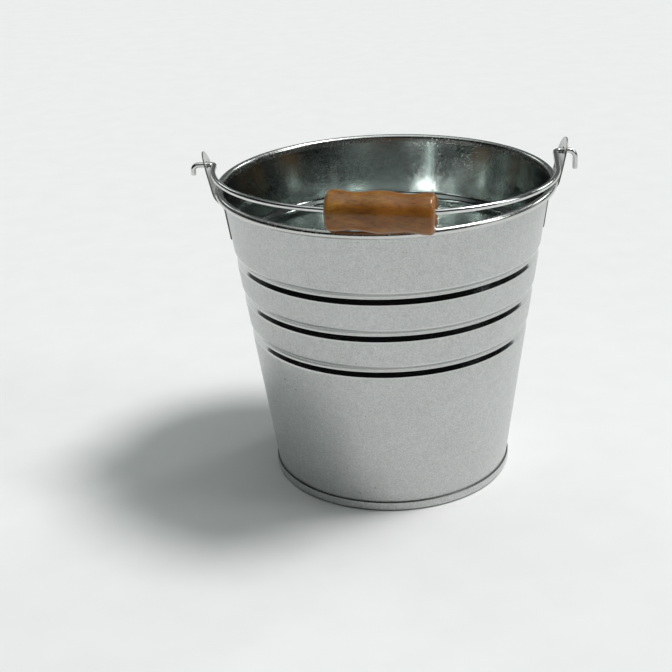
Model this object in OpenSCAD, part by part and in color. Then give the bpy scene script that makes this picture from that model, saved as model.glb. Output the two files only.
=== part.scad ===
// Florist bucket: a small tapered zinc pail with three rolled-in grooves, a wired rim,
// a double-seamed bottom, two spot-welded ears and a wire bail with a turned wooden grip.
// Millimetres. +Z is up and Z = 0 is the surface it stands on. The bucket's axis is the Z
// axis, the bail pivots about a line along X through both ears, and -Y is the front.

/* [Bucket] */
// Radius over the rim bead
rim_r = 85; // [75:1:110]
// Height of the top of the rim bead
rim_z = 155; // [145:1:200]
// Centreline radius of the side sheet where it enters the bottom seam
foot_r = 61; // [50:0.5:70]
// Thickness of the galvanised sheet
sheet_t = 0.35; // [0.3:0.05:0.5]
// Diameter of the rim bead
bead_d = 3.8; // [3.6:0.1:5]

/* [Grooves] */
// Number of rolled-in grooves
groove_count = 3; // [1:1:4]
// Height of the middle of the top groove
groove_top_z = 120; // [110:1:125]
// Spacing of the grooves
groove_pitch = 19.6; // [12:0.1:24]
// Height of a groove
groove_w = 6.4; // [4:0.1:8]
// Height of its flat floor
groove_floor = 1.4; // [0.4:0.1:2]
// Depth of a groove
groove_depth = 1.6; // [0.6:0.1:1.6]

/* [Bottom seam] */
// Height of the seam ring
seam_h = 4.6; // [4:0.1:6]
// Height of the underside of the bottom panel
panel_z = 4; // [3:0.1:5]
// Room between the folded layers
seam_gap = 0.05; // [0.03:0.01:0.1]

/* [Side seam] */
// Width of the lock seam, which is folded to the inside behind the right ear
lock_w = 6; // [4:0.5:8]
// Thickness of the folded layers inside the wall
lock_t = 0.9; // [0.6:0.1:1.2]

/* [Ears] */
// Width of an ear
ear_w = 20; // [16:0.5:26]
// Thickness of the ear sheet
ear_t = 0.7; // [0.5:0.1:1.2]
// Lower end of the tab that is welded to the wall
ear_foot_z = 128; // [125:1:136]
// Distance from the bail axis up to the top of an ear
ear_above = 6.5; // [6:0.5:10]
// Outward lean of the ear above the rim
ear_lean = 12; // [10:1:20]
// Radius of the bail hole
ear_hole_r = 1.8; // [1.6:0.1:2.5]

/* [Bail] */
// Wire diameter
wire_d = 2.6; // [2:0.1:3]
// Distance of each leg of the bail from the middle
leg_x = 84.4; // [80:0.1:86]
// How far the grip's middle sits left of the middle of the bucket
grip_left = 4.7; // [0:0.1:8]
// How far the grip's middle sits in front of the bail axis
grip_front = 85; // [82:0.5:88]
// How far the hand-bent bail turns the grip out of line
grip_turn = 10.5; // [0:0.5:14]
// Length of the hooked end outside the left ear
hook_left = 5; // [4:0.5:12]
// Length of the hooked end outside the right ear
hook_right = 9.5; // [4:0.5:12]

/* [Grip] */
// Length of the wooden grip
grip_len = 48.5; // [40:0.5:60]
// Radius of its belly
grip_belly_r = 9.5; // [8:0.1:12]
// Radius of its two necks
grip_neck_r = 8.4; // [6:0.1:9]
// Radius of its flared ends
grip_flare_r = 9.3; // [8:0.1:10]
// Radius of its bore
grip_bore_r = 2.4; // [2.4:0.1:3]
// How far the grip's right end hangs below the left one in its loose bore
grip_sag = 1.1; // [0:0.1:1.1]

/* [Hidden] */
$fn = 96;

zinc = "silver";
wire_r = wire_d / 2;
grip_clear = 0.6; // the grip rests just clear of the rim
axis_z = rim_z + grip_belly_r + grip_clear;
layer = sheet_t + seam_gap;

// Rim bead: the sheet's centreline is a circle round the rim wire
bead = [rim_r - bead_d / 2, rim_z - bead_d / 2];
curl_r = bead_d / 2 - sheet_t / 2;
curl_turn = 308;
rim_wire_gap = 0.06;
rim_wire_r = curl_r - sheet_t / 2 - rim_wire_gap;

// The side sheet rises from the seam and meets the bead as a tangent
foot = [foot_r, seam_h + 0.4];
to_bead = bead - foot;
flare = atan(to_bead.x / to_bead.y) - asin(curl_r / norm(to_bead));
slope = tan(flare);

// Bottom seam
hook_r = layer;
fold_z = sheet_t + seam_gap + hook_r + sheet_t / 2;
heel_r = 0.6;
panel_r = 1.2;
seam_top = seam_h - hook_r - sheet_t / 2;
body_hook_z = seam_top - 0.5;
end_hook_z = fold_z + 0.4;
sealant_w = 0.34;
sealant_h = 0.42;
sealant_gap = 0.04;

// Ear
ear_gap = 0.05;
ear_mid_x = rim_r + 3.6;
ear_round_r = ear_w / 2;
ear_top_z = axis_z + ear_above;

// Bail
elbow_r = 2.8;
hook_out_left = 95.2;
hook_out_right = 94.5;
hook_bend_left = 2.6;
hook_bend_right = 3.8;
kink_r = 9;
right_corner = [75.5, -80];
leg_bow_r = 66;

function unit(v) = v / norm(v);
function left_of(v) = [-v.y, v.x];
function arc(c, r, from, to, steps) =
    [for (i = [0:steps]) c + r * [cos(from + (to - from) * i / steps), sin(from + (to - from) * i / steps)]];
// Mitred normal of a path at point i
function normal(p, i) = let (
    last = len(p) - 1,
    before = left_of(unit(p[max(i, 1)] - p[max(i, 1) - 1])),
    after = left_of(unit(p[min(i, last - 1) + 1] - p[min(i, last - 1)])),
    mid = unit(before + after)
) mid / (mid * before);
function shifted(p, d) = [for (i = [0:len(p) - 1]) p[i] + d * normal(p, i)];
function reversed(p) = [for (i = [len(p) - 1:-1:0]) p[i]];
// Outline of a sheet of thickness t whose middle follows the path p
function sheet_outline(p, t) = concat(shifted(p, t / 2), reversed(shifted(p, -t / 2)));

// Radius of the side sheet's middle at height z, without its grooves
function wall_r(z) = foot.x + slope * (z - foot.y);
// A point of the side sheet's middle, pushed in by d
function wall_point(z, d) = [wall_r(z), z] + d * [-cos(flare), sin(flare)];
groove_path = [
    for (i = [groove_count - 1:-1:0])
        let (z = groove_top_z - i * groove_pitch)
        each [
            wall_point(z - groove_w / 2, 0),
            wall_point(z - groove_floor / 2, groove_depth),
            wall_point(z + groove_floor / 2, groove_depth),
            wall_point(z + groove_w / 2, 0)
        ]
];
body_hook = concat(
    [[foot_r + 2 * layer, body_hook_z]],
    arc([foot_r + layer, fold_z], hook_r, 0, -180, 8),
    [foot]
);
curl_path = arc(bead, curl_r, 180 - flare, 180 - flare - curl_turn, 28);
bottom_path = concat(
    [[0, panel_z + sheet_t / 2]],
    arc([foot_r - layer - panel_r, panel_z + sheet_t / 2 - panel_r], panel_r, 90, 0, 5),
    arc([foot_r - layer + heel_r, sheet_t / 2 + heel_r], heel_r, 180, 270, 4),
    arc([foot_r + 3 * layer - heel_r, sheet_t / 2 + heel_r], heel_r, 270, 360, 4),
    arc([foot_r + 2 * layer, seam_top], hook_r, 0, 180, 8),
    [[foot_r + layer, end_hook_z]]
);

// The ear's middle line: up the wall, out round the bead, then up with its own lean
ear_tab = sheet_t / 2 + ear_gap + ear_t / 2;
function ear_at(z) = [ear_mid_x + tan(ear_lean) * (z - axis_z), z];
ear_step_z = rim_z - 9.5;
ear_step_rise = 0.8;
ear_step_out = 0.6;
ear_knee_z = rim_z - 4.2;
ear_knee_rise = 0.9;
ear_knee_in = [0.55, 0.7];
ear_path = [
    wall_point(ear_foot_z, -ear_tab),
    wall_point(ear_step_z - ear_step_rise, -ear_tab),
    wall_point(ear_step_z + ear_step_rise, -ear_tab - ear_step_out),
    ear_at(ear_knee_z) - ear_knee_in,
    ear_at(ear_knee_z + ear_knee_rise),
    ear_at(ear_top_z)
];

// Bail route: corner points, each with the radius of its bend
grip_dir = [cos(grip_turn), -sin(grip_turn)];
grip_mid = [-grip_left, -grip_front];
grip_reach = grip_len / 2 + 1;
grip_start = grip_mid - grip_reach * grip_dir;
grip_end = grip_mid + grip_reach * grip_dir;
bail_points = [
    [-hook_out_left, 0, axis_z - hook_left],
    [-hook_out_left, 0, axis_z],
    [-leg_x, 0, axis_z],
    [-leg_x, -58, axis_z],
    [grip_start.x, grip_start.y, axis_z],
    [grip_end.x, grip_end.y, axis_z],
    [right_corner.x, right_corner.y, axis_z],
    [leg_x, 0, axis_z],
    [hook_out_right, 0, axis_z],
    [hook_out_right, 0, axis_z - hook_right]
];
bail_bends = [0, hook_bend_left, elbow_r, 76, kink_r, kink_r, leg_bow_r, elbow_r, hook_bend_right, 0];

// Grip profile: its radius swings smoothly between flare, neck and belly
flare_at = grip_len / 2 - 3.8;
neck_at = grip_len / 2 - 12;
end_round = 2.4;
function swing(a, b, t) = a + (b - a) * (1 - cos(180 * t)) / 2;
function grip_r(x) = let (s = abs(x))
    s < neck_at ? swing(grip_belly_r, grip_neck_r, s / neck_at)
    : s < flare_at ? swing(grip_neck_r, grip_flare_r, (s - neck_at) / (flare_at - neck_at))
    : grip_flare_r;
grip_steps = 28;
grip_side = grip_len / 2 - end_round;
grip_corner = arc([grip_flare_r - end_round, grip_side], end_round, 0, 90, 5);
grip_outline = concat(
    [[grip_bore_r, grip_len / 2]],
    reversed(grip_corner),
    [for (i = [1:grip_steps - 1]) let (x = grip_side - 2 * grip_side * i / grip_steps) [grip_r(x), x]],
    [for (p = grip_corner) [p.x, -p.y]],
    [[grip_bore_r, -grip_len / 2]]
);

// Side sheet: body hook of the bottom seam, grooved wall, and the curl round the rim wire
module wall() {
    color(zinc) {
        rotate_extrude()
            polygon(sheet_outline(concat(body_hook, groove_path, curl_path), sheet_t));
        lock_seam();
    }
}

// The folded edges of the side sheet, a flat ridge inside the wall
module lock_seam() {
    half = lock_w / (2 * foot_r) * 180 / PI;
    ridge = concat([wall_point(panel_z + 4, 0)], groove_path, [wall_point(bead.y - 5, 0)]);
    rotate([0, 0, -half])
        rotate_extrude(angle = 2 * half)
            polygon(concat(ridge, reversed(shifted(ridge, sheet_t / 2 + lock_t))));
}

// Bottom panel, whose edge folds round the body hook
module bottom() {
    color(zinc)
        rotate_extrude()
            polygon(sheet_outline(bottom_path, sheet_t));
}

module rim_wire() {
    color("gray")
        rotate_extrude()
            translate(bead)
                circle(rim_wire_r);
}

// Bead of sealing compound in the pocket above the body hook
module seam_sealant() {
    color("dimgray")
        rotate_extrude()
            translate([foot_r + 2 * layer - sealant_w / 2, body_hook_z + sealant_gap])
                square([sealant_w, sealant_h]);
}

// An ear on the +X side
module ear() {
    half = 12;
    color(zinc)
        difference() {
            intersection() {
                rotate([0, 0, -half])
                    rotate_extrude(angle = 2 * half)
                        polygon(sheet_outline(ear_path, ear_t));
                ear_blank();
            }
            translate([ear_mid_x - 6, 0, axis_z])
                rotate([0, 90, 0])
                    cylinder(r = ear_hole_r, h = 12);
        }
}

// Flat outline of an ear, seen along X
module ear_blank() {
    foot_round = 3;
    round_z = ear_top_z - ear_round_r;
    translate([rim_r - 15, 0, 0])
        rotate([90, 0, 90])
            linear_extrude(height = 30) {
                translate([0, round_z])
                    circle(ear_round_r);
                translate([-ear_w / 2, ear_foot_z + foot_round])
                    square([ear_w, round_z - ear_foot_z - foot_round]);
                translate([-ear_w / 2 + foot_round, ear_foot_z - 1])
                    square([ear_w - 2 * foot_round, foot_round + 2]);
                for (side = [-1, 1])
                    translate([side * (ear_w / 2 - foot_round), ear_foot_z + foot_round])
                        circle(foot_round);
            }
}

module ear_right() {
    ear();
}

module ear_left() {
    mirror([1, 0, 0])
        ear();
}

// Places its children with their own X, Y and Z along the unit vectors x, y and z
module placed(at, x, y, z) {
    multmatrix([[x.x, y.x, z.x, at.x], [x.y, y.y, z.y, at.y], [x.z, y.z, z.z, at.z], [0, 0, 0, 1]])
        children();
}

function any_across(z) = unit(cross(z, abs(z.z) < 0.9 ? [0, 0, 1] : [1, 0, 0]));
// Length that the bend at corner i takes off each of its two sides
function bend_cut(p, bends, i) = let (a = unit(p[i] - p[i - 1]), b = unit(p[i + 1] - p[i]))
    bends[i] * tan(acos(a * b) / 2);

// A straight length of wire, its first end chamfered by c
module straight(r, h, c) {
    rotate_extrude()
        polygon([[0, 0], [r - c, 0], [r, c], [r, h], [0, h]]);
}

// A round wire through the points p, bent at each corner with the given radius and
// chamfered by c at both ends. Every joint has a hairline gap with a core across it,
// so that no two equal round surfaces have to merge.
module bent_wire(p, bends, r, c) {
    last = len(p) - 1;
    hair = 0.003;
    core_r = r - 0.04;
    core_half = 0.25;
    cuts = [for (i = [0:last]) i == 0 || i == last ? 0 : bend_cut(p, bends, i)];
    for (i = [0:last - 1]) {
        flip = i == last - 1;
        from = flip ? p[last] : p[i];
        along = unit((flip ? p[i] : p[i + 1]) - from);
        start = flip || i == 0 ? 0 : cuts[i] + hair;
        run = norm(p[i + 1] - p[i]) - start - (flip ? cuts[i] : cuts[i + 1]) - hair;
        side = any_across(along);
        placed(from + along * start, side, cross(along, side), along)
            straight(r, run, flip || i == 0 ? c : 0);
    }
    for (i = [1:last - 1]) {
        a = unit(p[i] - p[i - 1]);
        b = unit(p[i + 1] - p[i]);
        up = unit(cross(a, b));
        inward = cross(up, a);
        placed(p[i] - a * cuts[i] + inward * bends[i], -inward, cross(up, -inward), up)
            rotate_extrude(angle = acos(a * b))
                translate([bends[i], 0])
                    circle(r);
        for (along = [a, -b]) {
            side = any_across(along);
            placed(p[i] - along * (cuts[i] + core_half), side, cross(along, side), along)
                straight(core_r, 2 * core_half, 0);
        }
    }
}

module bail() {
    color("lightgray")
        bent_wire(bail_points, bail_bends, wire_r, 0.35);
}

// Turned wooden grip, bored along its length for the bail
module grip() {
    color("peru")
        translate([grip_mid.x, grip_mid.y, axis_z - grip_sag / 2])
            rotate([0, 90 + asin(grip_sag / grip_len), -grip_turn])
                rotate_extrude()
                    polygon(grip_outline);
}

wall();
bottom();
rim_wire();
seam_sealant();
ear_left();
ear_right();
bail();
grip();
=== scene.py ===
"""Looks of the florist bucket: its sheet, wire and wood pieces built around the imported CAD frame."""
import math

import bmesh
import bpy
from mathutils import Matrix, Vector, geometry, noise


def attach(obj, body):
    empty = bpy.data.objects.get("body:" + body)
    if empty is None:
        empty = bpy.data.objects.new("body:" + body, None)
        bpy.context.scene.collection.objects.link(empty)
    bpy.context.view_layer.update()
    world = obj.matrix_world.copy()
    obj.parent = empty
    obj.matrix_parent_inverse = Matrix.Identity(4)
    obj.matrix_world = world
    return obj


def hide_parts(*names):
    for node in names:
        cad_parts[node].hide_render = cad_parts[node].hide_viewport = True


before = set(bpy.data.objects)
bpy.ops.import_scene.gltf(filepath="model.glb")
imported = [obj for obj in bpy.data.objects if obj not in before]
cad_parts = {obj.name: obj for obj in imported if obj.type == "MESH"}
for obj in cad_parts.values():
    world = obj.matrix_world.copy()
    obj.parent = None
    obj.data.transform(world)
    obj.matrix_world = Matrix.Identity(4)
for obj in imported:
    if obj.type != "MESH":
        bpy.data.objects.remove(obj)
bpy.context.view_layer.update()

MM = 0.001
TAU = 2 * math.pi


# ---------------------------------------------------------------- sizes, mm, the main ones as in the CAD
SHEET = 0.35
RIM_R, RIM_Z, BEAD_D = 85.0, 155.0, 3.8
BEAD = (RIM_R - BEAD_D / 2, RIM_Z - BEAD_D / 2)
CURL_R = BEAD_D / 2 - SHEET / 2
CURL_TURN = 308
FOOT_R, SEAM_H, PANEL_Z = 61.0, 4.6, 4.0
LAYER = SHEET + 0.05
FOOT = (FOOT_R, SEAM_H + 0.4)
GROOVE_TOPS = (80.8, 100.4, 120.0)
GROOVE_W, GROOVE_FLOOR, GROOVE_DEPTH = 6.4, 1.4, 1.6
LOCK_W, LOCK_T = 6.0, 0.9
CREASE_W, CREASE_DEPTH = 0.45, 0.2
MID_R = 71.0

AXIS_Z = 165.1
EAR_W, EAR_T, EAR_FOOT_Z, EAR_TOP_Z = 20.0, 0.7, 128.0, AXIS_Z + 6.5
EAR_MID_X, EAR_LEAN, EAR_HOLE_R = RIM_R + 3.6, 12, 1.8
EAR_STEP_Z, EAR_STEP_RISE, EAR_STEP_OUT = RIM_Z - 9.5, 0.8, 0.6
EAR_KNEE_Z, EAR_KNEE_DROP, EAR_KNEE_IN, EAR_KNEE_RISE = RIM_Z - 4.2, 0.7, 0.55, 0.9
EAR_BEND, EAR_ROUND = 1.1, 3.0
WELD_UP, WELD_APART, WELD_R, WELD_DEPTH = 7.5, 9.2, 2.1, 0.16

WIRE_R, WIRE_END_ROUND = 1.3, 0.35
HOOK_LEFT_X, HOOK_LEFT_DROP = -95.2, 5.0
HOOK_RIGHT_X, HOOK_RIGHT_DROP = 94.5, 9.5
SHOULDER_X = 84.4
LEFT_CORNER_Y = -58.0
RIGHT_CORNER = (75.5, -80.0)

GRIP_LEN, GRIP_TURN, GRIP_SAG = 48.5, 10.5, 1.1
GRIP_MID = (-4.7, -85.0)
GRIP_BELLY, GRIP_NECK, GRIP_FLARE, GRIP_BORE = 9.5, 8.4, 9.3, 2.4
GRIP_NECK_IN, GRIP_FLARE_IN, GRIP_ROUND, GRIP_BORE_ROUND = 12.0, 3.8, 2.4, 0.5

FOOT_TO_BEAD = (BEAD[0] - FOOT[0], BEAD[1] - FOOT[1])
FLARE = math.atan2(*FOOT_TO_BEAD) - math.asin(CURL_R / math.hypot(*FOOT_TO_BEAD))


def wall_r(z):
    """Radius of the side sheet's middle at height z, without its grooves."""
    return FOOT[0] + math.tan(FLARE) * (z - FOOT[1])


def wall_point(z, inward):
    """A point of the side sheet's middle, pushed in square to the sheet."""
    return (wall_r(z) - inward * math.cos(FLARE), z + inward * math.sin(FLARE))


def arc(centre, radius, start, end, steps):
    """Points of an arc in a plane; the angles are in degrees."""
    angles = [math.radians(start + (end - start) * i / steps) for i in range(steps + 1)]
    return [(centre[0] + radius * math.cos(a), centre[1] + radius * math.sin(a)) for a in angles]


# ---------------------------------------------------------------- mesh helpers
def eased(path, radius, steps=5):
    """The path with each corner rounded off over about radius."""
    out = [path[0]]
    for before, corner, after in zip(path, path[1:], path[2:]):
        p, c, n = Vector(before), Vector(corner), Vector(after)
        a, b = (p - c), (n - c)
        cut = min(radius, a.length * 0.45, b.length * 0.45)
        start, end = c + a.normalized() * cut, c + b.normalized() * cut
        for i in range(steps + 1):
            t = i / steps
            out.append(tuple(start * (1 - t) ** 2 + c * 2 * t * (1 - t) + end * t * t))
    out.append(path[-1])
    return out


def densified(path, longest):
    """The path with points added so that no step is longer than this."""
    out = [path[0]]
    for a, b in zip(path, path[1:]):
        count = max(1, math.ceil(math.dist(a, b) / longest))
        out += [tuple(x + (y - x) * i / count for x, y in zip(a, b)) for i in range(1, count + 1)]
    return out


def without_repeats(path, least=1e-4):
    """The path without points that lie on the one before."""
    out = [path[0]]
    out += [b for a, b in zip(path, path[1:]) if math.dist(a, b) > least]
    return out


def offset_path(path, distance):
    """The path moved to its left by the distance, in its plane."""
    out = []
    for i in range(len(path)):
        a, b = Vector(path[max(i - 1, 0)]), Vector(path[min(i + 1, len(path) - 1)])
        d = (b - a).normalized()
        out.append((path[i][0] - d.y * distance, path[i][1] + d.x * distance))
    return out


def sheet_profile(path, thickness):
    """Closed outline of a sheet whose middle follows the path."""
    left, right = offset_path(path, thickness / 2), offset_path(path, -thickness / 2)
    return left + right[::-1]


def new_object(name, mesh, body, node):
    """Puts a finished mesh in the scene in place of a CAD node, riding on its body."""
    obj = bpy.data.objects.new(name, mesh)
    bpy.context.scene.collection.objects.link(obj)
    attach(obj, body)
    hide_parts(node)
    return obj


def mesh_from(name, verts, faces):
    """A smooth-shaded mesh of these points, given in millimetres."""
    mesh = bpy.data.meshes.new(name)
    mesh.from_pydata([tuple(c * MM for c in v) for v in verts], [], faces)
    mesh.validate()
    mesh.shade_smooth()
    mesh.update()
    return mesh


def lathe(name, outline, columns, shift):
    """A closed outline of (radius, height) turned round Z.

    shift(angle, r, z, i) gives the new radius and height of each point.
    """
    verts, faces = [], []
    for a in columns:
        ca, sa = math.cos(a), math.sin(a)
        for i, (r, z) in enumerate(outline):
            r2, z2 = shift(a, r, z, i)
            verts.append((r2 * ca, r2 * sa, z2))
    rows, count = len(outline), len(columns)
    for j in range(count):
        k = (j + 1) % count
        for i in range(rows):
            n = (i + 1) % rows
            faces.append((j * rows + i, k * rows + i, k * rows + n, j * rows + n))
    mesh = mesh_from(name, verts, faces)
    bm = bmesh.new()
    bm.from_mesh(mesh)
    bmesh.ops.remove_doubles(bm, verts=bm.verts, dist=1e-7)
    bmesh.ops.recalc_face_normals(bm, faces=bm.faces)
    bm.to_mesh(mesh)
    bm.free()
    return mesh


RIPPLE_R = 75.0


def ripple(a, z, size, seed):
    """Smooth noise from -1 to 1 over a cylinder, with features about size millimetres wide."""
    r = RIPPLE_R / size
    return noise.noise(Vector((r * math.cos(a), r * math.sin(a), z / size + seed)))


def ramp_up(value, start, length):
    """0 below start, rising to 1 over the length."""
    return min(1.0, max(0.0, (value - start) / length))


# ---------------------------------------------------------------- material helpers
RANGE_SOCKETS = ("From Min", "From Max", "To Min", "To Max")


class Nodes:
    """Builds one procedural material from short calls."""

    def __init__(self, name):
        self.material = bpy.data.materials.new(name)
        self.material.use_nodes = True
        self.tree = self.material.node_tree
        self.tree.nodes.clear()
        self.out = self.add("ShaderNodeOutputMaterial")
        self.shader = self.add("ShaderNodeBsdfPrincipled")
        self.link(self.shader.outputs["BSDF"], self.out.inputs["Surface"])
        self.coords = self.add("ShaderNodeTexCoord").outputs["Object"]

    def add(self, kind, **settings):
        node = self.tree.nodes.new(kind)
        for key, value in settings.items():
            setattr(node, key, value)
        return node

    def link(self, source, target):
        self.tree.links.new(source, target)

    def set(self, **values):
        for key, value in values.items():
            self.shader.inputs[key.replace("_", " ")].default_value = value

    def stretched(self, scale):
        """Object coordinates, scaled along each axis."""
        node = self.add("ShaderNodeMapping")
        node.inputs["Scale"].default_value = scale
        self.link(self.coords, node.inputs["Vector"])
        return node.outputs["Vector"]

    def noise(self, scale, detail=3.0, rough=0.5, vector=None, distortion=0.0):
        node = self.add("ShaderNodeTexNoise")
        node.inputs["Scale"].default_value = scale
        node.inputs["Detail"].default_value = detail
        node.inputs["Roughness"].default_value = rough
        node.inputs["Distortion"].default_value = distortion
        self.link(vector or self.coords, node.inputs["Vector"])
        return node.outputs["Fac"]

    def cells(self, scale):
        """A random value in each cell of a cellular pattern."""
        node = self.add("ShaderNodeTexVoronoi", feature="F1")
        node.inputs["Scale"].default_value = scale
        self.link(self.coords, node.inputs["Vector"])
        split = self.add("ShaderNodeSeparateColor")
        self.link(node.outputs["Color"], split.inputs["Color"])
        return split.outputs["Red"]

    def remap(self, value, low, high, to_low, to_high):
        node = self.add("ShaderNodeMapRange")
        for key, number in zip(RANGE_SOCKETS, (low, high, to_low, to_high)):
            node.inputs[key].default_value = number
        self.link(value, node.inputs["Value"])
        return node.outputs["Result"]

    def math(self, operation, a, b):
        node = self.add("ShaderNodeMath", operation=operation)
        for socket, value in zip(node.inputs, (a, b)):
            if isinstance(value, (int, float)):
                socket.default_value = value
            else:
                self.link(value, socket)
        return node.outputs["Value"]

    def mix(self, factor, a, b, blend="MIX"):
        """Mixes two colours; each is a colour or a socket."""
        node = self.add("ShaderNodeMix", data_type="RGBA", blend_type=blend)
        for index, value in ((0, factor), (6, a), (7, b)):
            if isinstance(value, (int, float, tuple)):
                node.inputs[index].default_value = value
            else:
                self.link(value, node.inputs[index])
        return node.outputs[2]

    def ramp(self, value, *stops):
        node = self.add("ShaderNodeValToRGB")
        elements = node.color_ramp.elements
        while len(elements) < len(stops):
            elements.new(0.5)
        for element, (place, colour) in zip(elements, stops):
            element.position = place
            element.color = (*colour, 1)
        self.link(value, node.inputs["Fac"])
        return node.outputs["Color"]

    def bump(self, height, distance, strength):
        node = self.add("ShaderNodeBump")
        node.inputs["Strength"].default_value = strength
        node.inputs["Distance"].default_value = distance
        self.link(height, node.inputs["Height"])
        self.link(node.outputs["Normal"], self.shader.inputs["Normal"])


def zinc(name, tint, roughness, speckle, mottle, metallic=1.0):
    """Galvanised sheet: fine speckle, faint crystal patches, and a slow mottling."""
    n = Nodes(name)
    patch = speckle / 5
    fine = n.remap(n.noise(1500, detail=1.5, rough=0.6), 0.3, 0.7, -speckle, speckle)
    spangle = n.remap(n.cells(420), 0, 1, -patch, patch)
    slow = n.noise(38, detail=3.0, rough=0.55)
    value = n.math("ADD", fine, spangle)
    value = n.math("ADD", value, n.remap(slow, 0.3, 0.7, 1 - mottle, 1 + mottle))
    shade = n.add("ShaderNodeCombineColor")
    for channel in ("Red", "Green", "Blue"):
        n.link(value, shade.inputs[channel])
    colour = n.mix(1.0, (*tint, 1), shade.outputs["Color"], "MULTIPLY")
    n.link(colour, n.shader.inputs["Base Color"])
    grain = n.remap(n.noise(700, detail=3.0), 0.3, 0.7, -0.05, 0.05)
    dullness = n.remap(slow, 0.3, 0.7, roughness - 0.03, roughness + 0.03)
    n.link(n.math("ADD", grain, dullness), n.shader.inputs["Roughness"])
    n.set(Metallic=metallic)
    n.bump(n.noise(1800, detail=2.0), 0.00002, 0.5)
    return n.material


def wire_metal(name, tint, roughness):
    """Drawn galvanised wire: bright, with faint scratches and dull patches."""
    n = Nodes(name)
    dull = (*[c * 0.8 for c in tint], 1)
    patches = n.noise(260, detail=3.0)
    colour = n.mix(n.remap(patches, 0.35, 0.7, 0.0, 1.0), (*tint, 1), dull)
    n.link(colour, n.shader.inputs["Base Color"])
    n.link(n.remap(patches, 0.3, 0.75, roughness, roughness + 0.12), n.shader.inputs["Roughness"])
    n.set(Metallic=1.0)
    n.bump(n.noise(2600, detail=2.0), 0.00002, 0.4)
    return n.material


def lacquered_wood(name):
    """Stained turned wood: long fine grain along the grip, under a thin clear lacquer."""
    late, middle, early = (0.115, 0.043, 0.006), (0.225, 0.091, 0.013), (0.40, 0.195, 0.036)
    stain, pore = (0.29, 0.092, 0.013, 1), (0.06, 0.024, 0.005, 1)
    n = Nodes(name)
    bands = n.noise(230, detail=5.0, rough=0.7, vector=n.stretched((0.32, 1.0, 1.0)), distortion=0.5)
    pores = n.noise(1200, detail=2.0, rough=0.6, vector=n.stretched((0.25, 1.0, 1.0)))
    broad = n.noise(75, detail=3.0, rough=0.6, vector=n.stretched((0.7, 1.0, 1.0)))
    colour = n.ramp(bands, (0.3, late), (0.5, middle), (0.72, early))
    colour = n.mix(n.remap(broad, 0.42, 0.60, 0.0, 0.55), colour, stain)
    colour = n.mix(n.remap(pores, 0.55, 0.75, 0.0, 0.6), colour, pore)
    n.link(colour, n.shader.inputs["Base Color"])
    n.link(n.remap(bands, 0.2, 0.8, 0.48, 0.36), n.shader.inputs["Roughness"])
    n.set(Coat_Weight=0.55, Coat_Roughness=0.17, Specular_IOR_Level=0.2)
    n.bump(n.math("ADD", n.remap(pores, 0.45, 0.75, 1.0, 0.0), bands), 0.00006, 0.5)
    return n.material


def rubbery_compound(name):
    """Dark rubbery seam compound."""
    n = Nodes(name)
    grain = n.noise(900, detail=2.0)
    colour = n.ramp(grain, (0.3, (0.02, 0.02, 0.02)), (0.7, (0.05, 0.05, 0.05)))
    n.link(colour, n.shader.inputs["Base Color"])
    n.link(n.remap(grain, 0.3, 0.7, 0.6, 0.8), n.shader.inputs["Roughness"])
    n.bump(grain, 0.00005, 0.5)
    return n.material


ZINC_OUT = zinc("zinc_outside", (0.56, 0.57, 0.56), roughness=0.34, speckle=0.16, mottle=0.03, metallic=0.70)
ZINC_ROLLED = zinc("zinc_rolled", (0.56, 0.57, 0.56), roughness=0.10, speckle=0.05, mottle=0.03)
ZINC_IN = zinc("zinc_inside", (0.68, 0.725, 0.705), roughness=0.13, speckle=0.04, mottle=0.07)
# Painted shade: the bottom panel is the inside zinc darkened to less than half, for the shade down inside
# the pail.
ZINC_PANEL_PAINTED_SHADE = zinc("zinc_panel_painted_shade", (0.30, 0.32, 0.31), roughness=0.16, speckle=0.04, mottle=0.06)
ZINC_EDGE = zinc("zinc_rim", (0.62, 0.62, 0.60), roughness=0.24, speckle=0.03, mottle=0.03)
# Painted shade: a near-black copy of the zinc for the ledge on top of the seam ring, standing in for the
# shaded crevice against the wall.
SEAM_PAINTED_SHADE = zinc(
    "zinc_seam_painted_shade", (0.075, 0.08, 0.075), roughness=0.45, speckle=0.3, mottle=0.2, metallic=0.6,
)
# Bare cut steel on the ears' edges, darker than zinc, and darkened further as painted shade of the gap
# between the tab and the wall.
CUT_EDGE_AND_GAP_SHADE = zinc("cut_steel_edge_and_gap_shade", (0.16, 0.15, 0.14), roughness=0.45, speckle=0.2, mottle=0.1, metallic=0.9)
EAR_METAL = zinc("ear_zinc", (0.72, 0.72, 0.71), roughness=0.34, speckle=0.03, mottle=0.03)
WIRE_METAL = wire_metal("bail_zinc", (0.72, 0.72, 0.71), roughness=0.12)
HIDDEN_WIRE = wire_metal("rim_wire_steel", (0.45, 0.45, 0.45), roughness=0.35)
WOOD = lacquered_wood("grip_wood")
COMPOUND = rubbery_compound("seam_compound")


# ---------------------------------------------------------------- wall
def groove_path():
    """The side sheet's middle from the seam to just under the bead, with its grooves."""
    points = []
    for z in GROOVE_TOPS:
        points += [
            wall_point(z - GROOVE_W / 2, 0),
            wall_point(z - GROOVE_FLOOR / 2, GROOVE_DEPTH),
            wall_point(z + GROOVE_FLOOR / 2, GROOVE_DEPTH),
            wall_point(z + GROOVE_W / 2, 0),
        ]
    return points


def near_seam(a):
    """Distance round the wall from the side seam's line, mm at mid height."""
    a = (a + math.pi) % TAU - math.pi
    return abs(a) * MID_R


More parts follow.
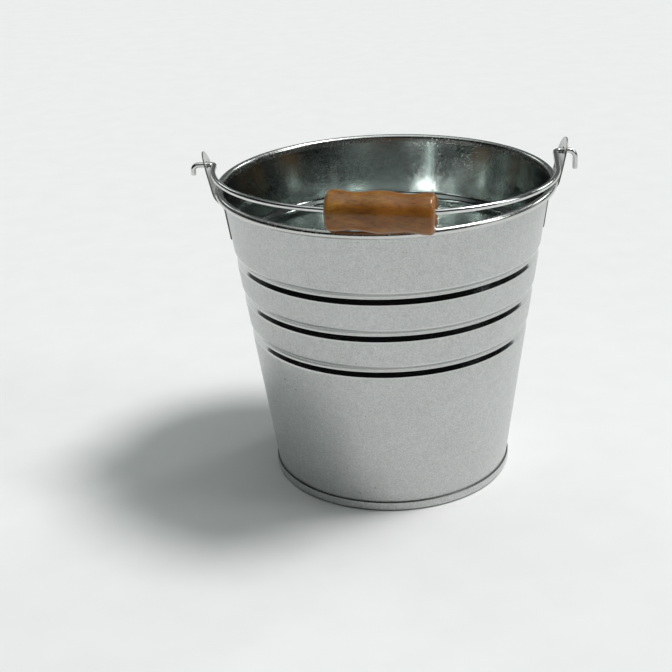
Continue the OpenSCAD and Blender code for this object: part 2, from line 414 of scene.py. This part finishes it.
def wall_columns():
    """Even columns, and close ones at the side seam's two edges and its crease."""
    even = 400
    half = LOCK_W / 2
    offsets = [half + more for more in (-0.2, 0.0, 0.2, 0.6)]
    offsets += [CREASE_W * part / 3 for part in (1, 2, 3)]
    seam = [0.0] + [sign * mm / MID_R for mm in offsets for sign in (-1, 1)]
    rest = [TAU * i / even for i in range(even)]
    keep = [a for a in rest if near_seam(a) > half + 0.9 or 0.7 < near_seam(a) < half - 0.5]
    return sorted([a % TAU for a in seam] + keep)


def wall_shift(inner_count):
    """How the real wall strays from a true cone: hand dents, a wavy rim, and the side seam."""
    low_end, high_end, low_fade, high_fade = 6, 148, 12, 16
    wide_dent, fine_dent, rim_wave = 0.13, 0.04, 0.05
    lock_floor, lock_top, lock_fade = 8, BEAD[1] - 5, 0.4
    crease_floor, crease_top = 5, BEAD[1] - 3
    lock_reach = LOCK_W / 2 + lock_fade / 2

    def shift(a, r, z, i):
        inside = i < inner_count
        calm = ramp_up(z, low_end, low_fade) * ramp_up(high_end - z, 0, high_fade)
        dr = calm * (wide_dent * ripple(a, z, 34, 3.1) + fine_dent * ripple(a, z, 11, 8.7))
        dz = rim_wave * ripple(a, 0, 26, 5.5) if z > high_end else 0.0
        gap = near_seam(a)
        if inside and lock_floor < z < lock_top:
            dr -= (LOCK_T - 0.1) * ramp_up(lock_reach - gap, 0, lock_fade)
        if not inside and crease_floor < z < crease_top:
            dr -= CREASE_DEPTH * max(0.0, 1 - gap / CREASE_W)
        return r + dr, z + dz

    return shift


def make_wall():
    corner_round, hem_z, row, least_tilt = 0.75, 1.3, 2.2, 0.1
    curl_start = 180 - math.degrees(FLARE)
    middle = eased([(FOOT[0], hem_z), *groove_path(), wall_point(BEAD[1], 0)], corner_round)[:-1]
    curl = arc(BEAD, CURL_R, curl_start, curl_start - CURL_TURN, 44)
    path = without_repeats(densified(middle + curl, row))
    mesh = lathe("pail_wall", sheet_profile(path, SHEET), wall_columns(), wall_shift(len(path)))
    outer, inner, rim, rolled = range(4)
    for material in (ZINC_OUT, ZINC_IN, ZINC_EDGE, ZINC_ROLLED):
        mesh.materials.append(material)
    rim_floor = (BEAD[1] - 1.7) * MM
    grooves_floor = (GROOVE_TOPS[0] - GROOVE_W) * MM
    grooves_top = (GROOVE_TOPS[-1] + GROOVE_W) * MM
    for polygon in mesh.polygons:
        c, normal = polygon.center, polygon.normal
        tilted = abs(normal.z + math.sin(FLARE)) > least_tilt
        if c.z > rim_floor:
            polygon.material_index = rim
        elif normal.x * c.x + normal.y * c.y < 0:
            polygon.material_index = inner
        elif grooves_floor < c.z < grooves_top and tilted:
            polygon.material_index = rolled
        else:
            polygon.material_index = outer
    new_object("pail_wall", mesh, "bucket", "wall")


# ---------------------------------------------------------------- bottom
def bottom_path(seam_top):
    """The pan's middle: its panel, the step down to the foot, out, up and over the wall's hem."""
    heel, panel_round = 0.6, 1.2
    fold_z = SHEET + 0.05 + LAYER + SHEET / 2
    panel_mid = PANEL_Z + SHEET / 2
    foot_mid = SHEET / 2 + heel
    path = [(0.0, panel_mid), (20.0, panel_mid), (45.0, panel_mid)]
    path += arc((FOOT_R - LAYER - panel_round, panel_mid - panel_round), panel_round, 90, 0, 8)
    path += arc((FOOT_R - LAYER + heel, foot_mid), heel, 180, 270, 6)
    path += arc((FOOT_R + 3 * LAYER - heel, foot_mid), heel, 270, 360, 6)
    path += arc((FOOT_R + 2 * LAYER, seam_top), LAYER, 0, 180, 10)
    path += [(FOOT_R + LAYER, fold_z + 0.4)]
    return without_repeats(densified(path, 4.0))


def bottom_shift(a, r, z, i):
    """A faintly uneven foot ring, and a panel that dips and swells a little."""
    ring_wave, panel_wave = 0.03, 0.12
    if r > FOOT_R:
        return r + ring_wave * ripple(a, z, 14, 1.7), z
    fade = ramp_up(r, 0, 15) * ramp_up(57 - r, 0, 8)
    return r, z + panel_wave * ripple(a, r, 22, 4.2) * fade


def make_bottom():
    columns = 320
    seam_top = SEAM_H - LAYER - SHEET / 2
    outline = [(max(r, 0.0), z) for r, z in sheet_profile(bottom_path(seam_top), SHEET)]
    mesh = lathe("pail_bottom", outline, [TAU * i / columns for i in range(columns)], bottom_shift)
    outer, inner, shade_ledge = range(3)
    for material in (ZINC_OUT, ZINC_PANEL_PAINTED_SHADE, SEAM_PAINTED_SHADE):
        mesh.materials.append(material)
    for polygon in mesh.polygons:
        c, up = polygon.center, polygon.normal.z
        # The panel inside the foot gets the darkened zinc of the painted shade.
        if math.hypot(c.x, c.y) < (FOOT_R - 0.2) * MM and up > 0.3:
            polygon.material_index = inner
        # The seam ring's upward ledge gets the near-black painted shade of its crevice.
        elif c.z > seam_top * MM and up > 0.35:
            polygon.material_index = shade_ledge
        else:
            polygon.material_index = outer
    new_object("pail_bottom", mesh, "bucket", "bottom")


# ---------------------------------------------------------------- ears
def ear_at(z):
    """The point of the ear's leaning top part at height z."""
    return (EAR_MID_X + math.tan(math.radians(EAR_LEAN)) * (z - AXIS_Z), z)


def ear_path():
    """Side view of an ear's middle: up the wall, out under the bead, then up with its own lean."""
    tab = SHEET / 2 + 0.05 + EAR_T / 2
    knee = ear_at(EAR_KNEE_Z)
    corners = [
        wall_point(EAR_FOOT_Z, -tab),
        wall_point(EAR_STEP_Z - EAR_STEP_RISE, -tab),
        wall_point(EAR_STEP_Z + EAR_STEP_RISE, -tab - EAR_STEP_OUT),
        (knee[0] - EAR_KNEE_IN, knee[1] - EAR_KNEE_DROP),
        ear_at(EAR_KNEE_Z + EAR_KNEE_RISE),
        ear_at(EAR_TOP_Z),
    ]
    return without_repeats(densified(eased(corners, EAR_BEND), 0.8))


def ear_outline():
    """Flat outline of an ear in (y, z), counter-clockwise, and its bail hole."""
    half = EAR_W / 2
    foot_y, foot_z = half - EAR_ROUND, EAR_FOOT_Z + EAR_ROUND
    top = arc((0, EAR_TOP_Z - half), half, 0, 180, 40)
    left = arc((-foot_y, foot_z), EAR_ROUND, 180, 270, 10)
    right = arc((foot_y, foot_z), EAR_ROUND, 270, 360, 10)
    edge = densified(top + left + right + [top[0]], 1.0)[:-1]
    hole = arc((0, AXIS_Z), EAR_HOLE_R, 0, 360, 32)[:-1]
    return edge, hole


def on_ear(y, z, margin):
    """Whether a flat point is on the ear, the margin clear of its sides, corners and hole."""
    half = EAR_W / 2
    if math.hypot(y, z - AXIS_Z) < EAR_HOLE_R + margin:
        return False
    if z > EAR_TOP_Z - half:
        return math.hypot(y, z - EAR_TOP_Z + half) < half - margin
    out, down = abs(y) - half + EAR_ROUND, EAR_FOOT_Z + EAR_ROUND - z
    if out > 0 and down > 0:
        return math.hypot(out, down) < EAR_ROUND - margin
    return abs(y) < half - margin


def flat_ear():
    """Points and faces of the flat ear: its outline, its hole, and an even grid between them."""
    step, margin = 0.8, 0.5
    edge, hole = ear_outline()
    grid = [(i * step, EAR_FOOT_Z + step / 2 + j * step) for i in range(-12, 13) for j in range(56)]
    inner = [p for p in grid if on_ear(*p, margin)]
    ring = [(i, (i + 1) % len(edge)) for i in range(len(edge))]
    eye = [(len(edge) + i, len(edge) + (i + 1) % len(hole)) for i in range(len(hole))]
    points = [Vector(p) for p in edge + hole + inner]
    flat, _, faces, *_ = geometry.delaunay_2d_cdt(points, ring + eye, [], 0, 1e-6)

    def middle(face):
        return (sum(flat[i].x for i in face) / len(face), sum(flat[i].y for i in face) / len(face))

    return flat, [face for face in faces if on_ear(*middle(face), 0)]


def ear_weld(y, z):
    """Shallow dents of the two spot welds on the tab."""
    places = (-WELD_APART / 2, WELD_APART / 2)
    dents = [math.hypot(y - at, z - EAR_FOOT_Z - WELD_UP) for at in places]
    return sum(-WELD_DEPTH * max(0.0, 1 - (d / WELD_R) ** 2) ** 2 for d in dents)


def ear_radius(path, z):
    """How far out the ear's middle is at height z."""
    for (r0, z0), (r1, z1) in zip(path, path[1:]):
        if z <= z1:
            return r0 + (r1 - r0) * (z - z0) / (z1 - z0)
    return path[-1][0]


def make_ear(name, node, side):
    path = ear_path()
    flat, faces = flat_ear()
    verts = []
    for p in flat:
        uneven = 0.04 * noise.noise(Vector((p.x / 9, p.y / 9, side * 4.0)))
        r = ear_radius(path, p.y) + ear_weld(p.x, p.y) + uneven
        verts.append((side * math.sqrt(r * r - p.x ** 2), side * p.x, p.y))
    mesh = mesh_from(name, verts, faces)
    bm = bmesh.new()
    bm.from_mesh(mesh)
    loose = [v for v in bm.verts if not v.link_faces]
    bmesh.ops.delete(bm, geom=loose, context="VERTS")
    bmesh.ops.recalc_face_normals(bm, faces=bm.faces)
    bm.to_mesh(mesh)
    bm.free()
    mesh.materials.append(EAR_METAL)
    mesh.materials.append(CUT_EDGE_AND_GAP_SHADE)
    obj = new_object(name, mesh, "bucket", node)
    thick = obj.modifiers.new("thickness", "SOLIDIFY")
    thick.thickness = EAR_T * MM
    thick.offset = 0.0
    # The ear's edge faces get the cut-steel material with its painted gap shade.
    thick.material_offset_rim = 1
    edge_round = obj.modifiers.new("edges", "BEVEL")
    edge_round.width = 0.12 * MM
    edge_round.segments = 2
    edge_round.angle_limit = math.radians(50)
    edge_round.harden_normals = True


# ---------------------------------------------------------------- bail
GRIP_DIR = (math.cos(math.radians(GRIP_TURN)), -math.sin(math.radians(GRIP_TURN)))


def grip_end(side):
    """Where the bail's straight run under the grip ends, 1 mm past the wood; side is -1 or 1."""
    reach = side * (GRIP_LEN / 2 + 1)
    return (GRIP_MID[0] + reach * GRIP_DIR[0], GRIP_MID[1] + reach * GRIP_DIR[1], AXIS_Z)


# The corners of the bail from hook to hook, and the radius that each is bent to.
BAIL = (
    ((HOOK_LEFT_X, 0, AXIS_Z - HOOK_LEFT_DROP), 0),
    ((HOOK_LEFT_X, 0, AXIS_Z), 2.6),
    ((-SHOULDER_X, 0, AXIS_Z), 2.8),
    ((-SHOULDER_X, LEFT_CORNER_Y, AXIS_Z), 76),
    (grip_end(-1), 9),
    (grip_end(1), 9),
    ((*RIGHT_CORNER, AXIS_Z), 66),
    ((SHOULDER_X, 0, AXIS_Z), 2.8),
    ((HOOK_RIGHT_X, 0, AXIS_Z), 3.8),
    ((HOOK_RIGHT_X, 0, AXIS_Z - HOOK_RIGHT_DROP), 0),
)


def bent_route(corners):
    """Points along a wire that is bent to the given radius at each corner."""
    points = [Vector(point) for point, _ in corners]
    out = [points[0]]
    for before, corner, after, (_, radius) in zip(points, points[1:], points[2:], corners[1:]):
        a, b = (corner - before).normalized(), (after - corner).normalized()
        turn = a.angle(b)
        inward = a.cross(b).normalized().cross(a)
        centre = corner - a * radius * math.tan(turn / 2) + inward * radius
        steps = max(10, int(radius * turn / 1.5))
        for i in range(steps + 1):
            t = turn * i / steps
            out.append(centre + radius * (a * math.sin(t) - inward * math.cos(t)))
    out.append(points[-1])
    return out


def wander(s):
    """How a hand-bent wire strays from its route, s millimetres along it."""
    places = ((s / 13, 2.0, 7.0), (s / 13, 9.0, 1.0), (s / 15, 4.0, 3.0))
    return Vector([noise.noise(Vector(place)) for place in places]) * 0.07


def wire_rings(route):
    """Centre, two directions across, and direction along the wire at each point of the route."""
    length = [0.0]
    for a, b in zip(route, route[1:]):
        length.append(length[-1] + (b - a).length)
    side = None
    rings = []
    for i, (p, s) in enumerate(zip(route, length)):
        along = (route[min(i + 1, len(route) - 1)] - route[max(i - 1, 0)]).normalized()
        if side is None:
            side = along.orthogonal()
        side = (side - along * side.dot(along)).normalized()
        calm = max(0.0, min(1.0, s / 12, (length[-1] - s) / 12))
        rings.append((p + wander(s) * calm, side, along.cross(side), along))
    return rings


def tube(name, route, radius, sides, end_round):
    """A round wire along the route, with rounded-off cut ends."""
    rings = wire_rings([Vector(p) for p in without_repeats(densified([tuple(p) for p in route], 1.6))])

    def end(ring, inward, angles):
        """Loops that round off a cut end; inward is 1 at the start and -1 at the end."""
        centre, side, other, along = ring
        out = []
        for t in angles:
            place = centre + along * inward * end_round * (1 - math.sin(t))
            out.append((place, side, other, radius - end_round * (1 - math.cos(t))))
        return out

    angles = (math.pi / 2, math.pi / 4, 0)
    loops = end(rings[0], 1, angles)
    loops += [(centre, side, other, radius) for centre, side, other, _ in rings[1:-1]]
    loops += end(rings[-1], -1, angles[::-1])
    verts, faces = [], []
    for centre, u, v, rad in loops:
        for k in range(sides):
            t = TAU * k / sides
            verts.append(tuple(centre + u * rad * math.cos(t) + v * rad * math.sin(t)))
    for j in range(len(loops) - 1):
        for k in range(sides):
            n = (k + 1) % sides
            faces.append((j * sides + k, j * sides + n, (j + 1) * sides + n, (j + 1) * sides + k))
    faces.append(tuple(range(sides))[::-1])
    faces.append(tuple((len(loops) - 1) * sides + k for k in range(sides)))
    mesh = mesh_from(name, verts, faces)
    bm = bmesh.new()
    bm.from_mesh(mesh)
    bmesh.ops.recalc_face_normals(bm, faces=bm.faces)
    for edge in {e for face in bm.faces if len(face.verts) == sides for e in face.edges}:
        edge.smooth = False
    bm.to_mesh(mesh)
    bm.free()
    return mesh


def make_bail():
    mesh = tube("pail_bail", bent_route(BAIL), WIRE_R, 28, WIRE_END_ROUND)
    mesh.materials.append(WIRE_METAL)
    new_object("pail_bail", mesh, "bail", "bail")


# ---------------------------------------------------------------- grip
def swing(a, b, t):
    """From a to b as t goes from 0 to 1, level at both ends."""
    return a + (b - a) * (1 - math.cos(math.pi * t)) / 2


def grip_radius(x):
    """Radius of the turned grip at x along it: a belly, two necks and two flared ends."""
    flare_at, neck_at = GRIP_LEN / 2 - GRIP_FLARE_IN, GRIP_LEN / 2 - GRIP_NECK_IN
    s = abs(x)
    if s < neck_at:
        return swing(GRIP_BELLY, GRIP_NECK, s / neck_at)
    if s < flare_at:
        return swing(GRIP_NECK, GRIP_FLARE, (s - neck_at) / (flare_at - neck_at))
    return GRIP_FLARE


def grip_outline():
    """Half section of the grip, from its bore out over one end, along, and in over the other."""
    steps = 90
    half = GRIP_LEN / 2
    side = half - GRIP_ROUND
    mouth = [(GRIP_BORE, half - GRIP_BORE_ROUND), (GRIP_BORE + GRIP_BORE_ROUND, half)]
    corner = arc((GRIP_FLARE - GRIP_ROUND, side), GRIP_ROUND, 0, 90, 9)
    places = [side - 2 * side * i / steps for i in range(1, steps)]
    outline = mouth + corner[::-1] + [(grip_radius(x), x) for x in places]
    outline += [(r, -z) for r, z in corner + mouth[::-1]]
    return without_repeats(outline)


def grip_shift(a, r, z, i):
    """Fine turning marks, and a grip that isn't quite round."""
    if r < GRIP_BORE + 0.6:
        return r, z
    turned = 0.015 * math.sin(z * 9.0) + 0.03 * noise.noise(Vector((z / 2.2, 0.0, 5.0)))
    oval = 0.04 * noise.noise(Vector((math.cos(a) * 1.4, math.sin(a) * 1.4, z / 16)))
    return r + turned + oval - 0.02, z


def make_grip():
    """The grip is turned about its own X axis, then laid where the CAD has it."""
    columns = 128
    mesh = lathe("pail_grip", grip_outline(), [TAU * i / columns for i in range(columns)], grip_shift)
    mesh.transform(Matrix.Rotation(math.pi / 2, 4, "Y"))
    mesh.materials.append(WOOD)
    obj = new_object("pail_grip", mesh, "grip", "grip")
    tilt = math.asin(GRIP_SAG / GRIP_LEN)
    turn = Matrix.Rotation(math.radians(-GRIP_TURN), 4, "Z") @ Matrix.Rotation(tilt, 4, "Y")
    place = Matrix.Translation(Vector((*GRIP_MID, AXIS_Z - GRIP_SAG / 2)) * MM)
    obj.matrix_world = place @ turn


make_wall()
make_bottom()
make_ear("pail_ear_right", "ear_right", 1)
make_ear("pail_ear_left", "ear_left", -1)
make_bail()
make_grip()
for node, material in (("rim_wire", HIDDEN_WIRE), ("seam_sealant", COMPOUND)):
    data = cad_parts[node].data
    data.materials.clear()
    data.materials.append(material)


# ---------------------------------------------------------------- stage, lights and camera
COOL_WHITE = (0.92, 1.0, 0.98)
BACKDROP_WHITE = 0.86
ROOM_FRONT, ROOM_BEHIND, ROOM_ABOVE = 0.004, 0.12, 0.95
LAMP_DISTANCE = 2.0


def make_floor():
    """A wide matt sheet of white paper, just under the bucket."""
    size, gap = 6.0, 0.0004
    mesh = bpy.data.meshes.new("studio_floor")
    bm = bmesh.new()
    bmesh.ops.create_grid(bm, x_segments=8, y_segments=8, size=size)
    bm.to_mesh(mesh)
    bm.free()
    n = Nodes("floor_paper")
    grain = n.noise(40, detail=2.0)
    colour = n.ramp(grain, (0.3, (0.80, 0.80, 0.80)), (0.7, (0.82, 0.82, 0.82)))
    n.link(colour, n.shader.inputs["Base Color"])
    n.set(Roughness=0.9, Specular_IOR_Level=0.1)
    mesh.materials.append(n.material)
    obj = bpy.data.objects.new("studio_floor", mesh)
    bpy.context.scene.collection.objects.link(obj)
    obj.location.z = -gap


def lamp(name, azimuth, elevation, energy, angle, colour=COOL_WHITE):
    """A far, soft lamp at this azimuth (0 is +X, 90 is +Y) and elevation, in degrees."""
    data = bpy.data.lights.new(name, "SUN")
    data.color = colour
    data.energy = energy
    data.angle = angle
    obj = bpy.data.objects.new(name, data)
    bpy.context.scene.collection.objects.link(obj)
    a, e = math.radians(azimuth), math.radians(elevation)
    away = Vector((math.cos(a) * math.cos(e), math.sin(a) * math.cos(e), math.sin(e)))
    obj.location = away * LAMP_DISTANCE
    obj.rotation_mode = "QUATERNION"
    obj.rotation_quaternion = away.to_track_quat("Z", "Y")


def room_light():
    """Light from above and behind, dark behind the camera, and a pale backdrop past the floor."""
    world = bpy.data.worlds.new("studio")
    bpy.context.scene.world = world
    world.use_nodes = True
    tree = world.node_tree
    split = tree.nodes.new("ShaderNodeSeparateXYZ")
    tree.links.new(tree.nodes.new("ShaderNodeTexCoord").outputs["Generated"], split.inputs[0])

    def level(socket, low, high, dark, bright):
        """Brightness that grows smoothly as the direction's X, Y or Z goes from low to high."""
        node = tree.nodes.new("ShaderNodeMapRange")
        node.interpolation_type = "SMOOTHSTEP"
        for key, value in zip(RANGE_SOCKETS, (low, high, dark, bright)):
            node.inputs[key].default_value = value
        tree.links.new(split.outputs[socket], node.inputs["Value"])
        return node.outputs["Result"]

    add = tree.nodes.new("ShaderNodeMath")
    tree.links.new(level("Y", 0.0, 0.9, ROOM_FRONT, ROOM_BEHIND), add.inputs[0])
    tree.links.new(level("Z", 0.66, 1.0, 0.0, ROOM_ABOVE), add.inputs[1])
    room = tree.nodes["Background"]
    tree.links.new(add.outputs[0], room.inputs["Strength"])
    room.inputs["Color"].default_value = (*COOL_WHITE, 1)
    backdrop = tree.nodes.new("ShaderNodeBackground")
    backdrop.inputs["Color"].default_value = (BACKDROP_WHITE, BACKDROP_WHITE, BACKDROP_WHITE, 1)
    both = tree.nodes.new("ShaderNodeMixShader")
    seen = tree.nodes.new("ShaderNodeLightPath").outputs["Is Camera Ray"]
    tree.links.new(seen, both.inputs[0])
    tree.links.new(room.outputs[0], both.inputs[1])
    tree.links.new(backdrop.outputs[0], both.inputs[2])
    tree.links.new(both.outputs[0], tree.nodes["World Output"].inputs["Surface"])


make_floor()
lamp("key", 4, 62, energy=2.27, angle=0.30, colour=(1.0, 0.985, 0.985))
lamp("right_window", 22, 12, energy=0.034, angle=0.16, colour=(0.90, 1.0, 0.98))
lamp("right_softbox", 43, 28, energy=0.32, angle=0.22)
lamp("left_softbox", 120, 28, energy=0.10, angle=0.26)
lamp("side_softbox", 346, 28, energy=0.36, angle=0.30)
room_light()

CAMERA_AT = Vector((-18.1, -626.7, 341.2)) * MM
CAMERA_YAW, CAMERA_PITCH, CAMERA_ROLL = -0.906, 23.42, -2.56
CAMERA_LENS = 69.64


def make_camera():
    """A camera turned, tipped down and rolled, in that order, in degrees."""
    yaw, pitch, roll = (math.radians(v) for v in (CAMERA_YAW, CAMERA_PITCH, CAMERA_ROLL))
    level = Vector((math.cos(yaw), -math.sin(yaw), 0))
    ahead = Vector((math.sin(yaw) * math.cos(pitch), math.cos(yaw) * math.cos(pitch), -math.sin(pitch)))
    up = level.cross(ahead)
    right = level * math.cos(roll) + up * math.sin(roll)
    top = up * math.cos(roll) - level * math.sin(roll)
    data = bpy.data.cameras.new("camera")
    data.lens = CAMERA_LENS
    data.sensor_width = 36
    data.clip_start = 0.01
    obj = bpy.data.objects.new("camera", data)
    bpy.context.scene.collection.objects.link(obj)
    turn = Matrix((right, top, -ahead)).transposed().to_4x4()
    obj.matrix_world = Matrix.Translation(CAMERA_AT) @ turn
    bpy.context.scene.camera = obj


make_camera()
bpy.context.scene.view_settings.view_transform = "Standard"
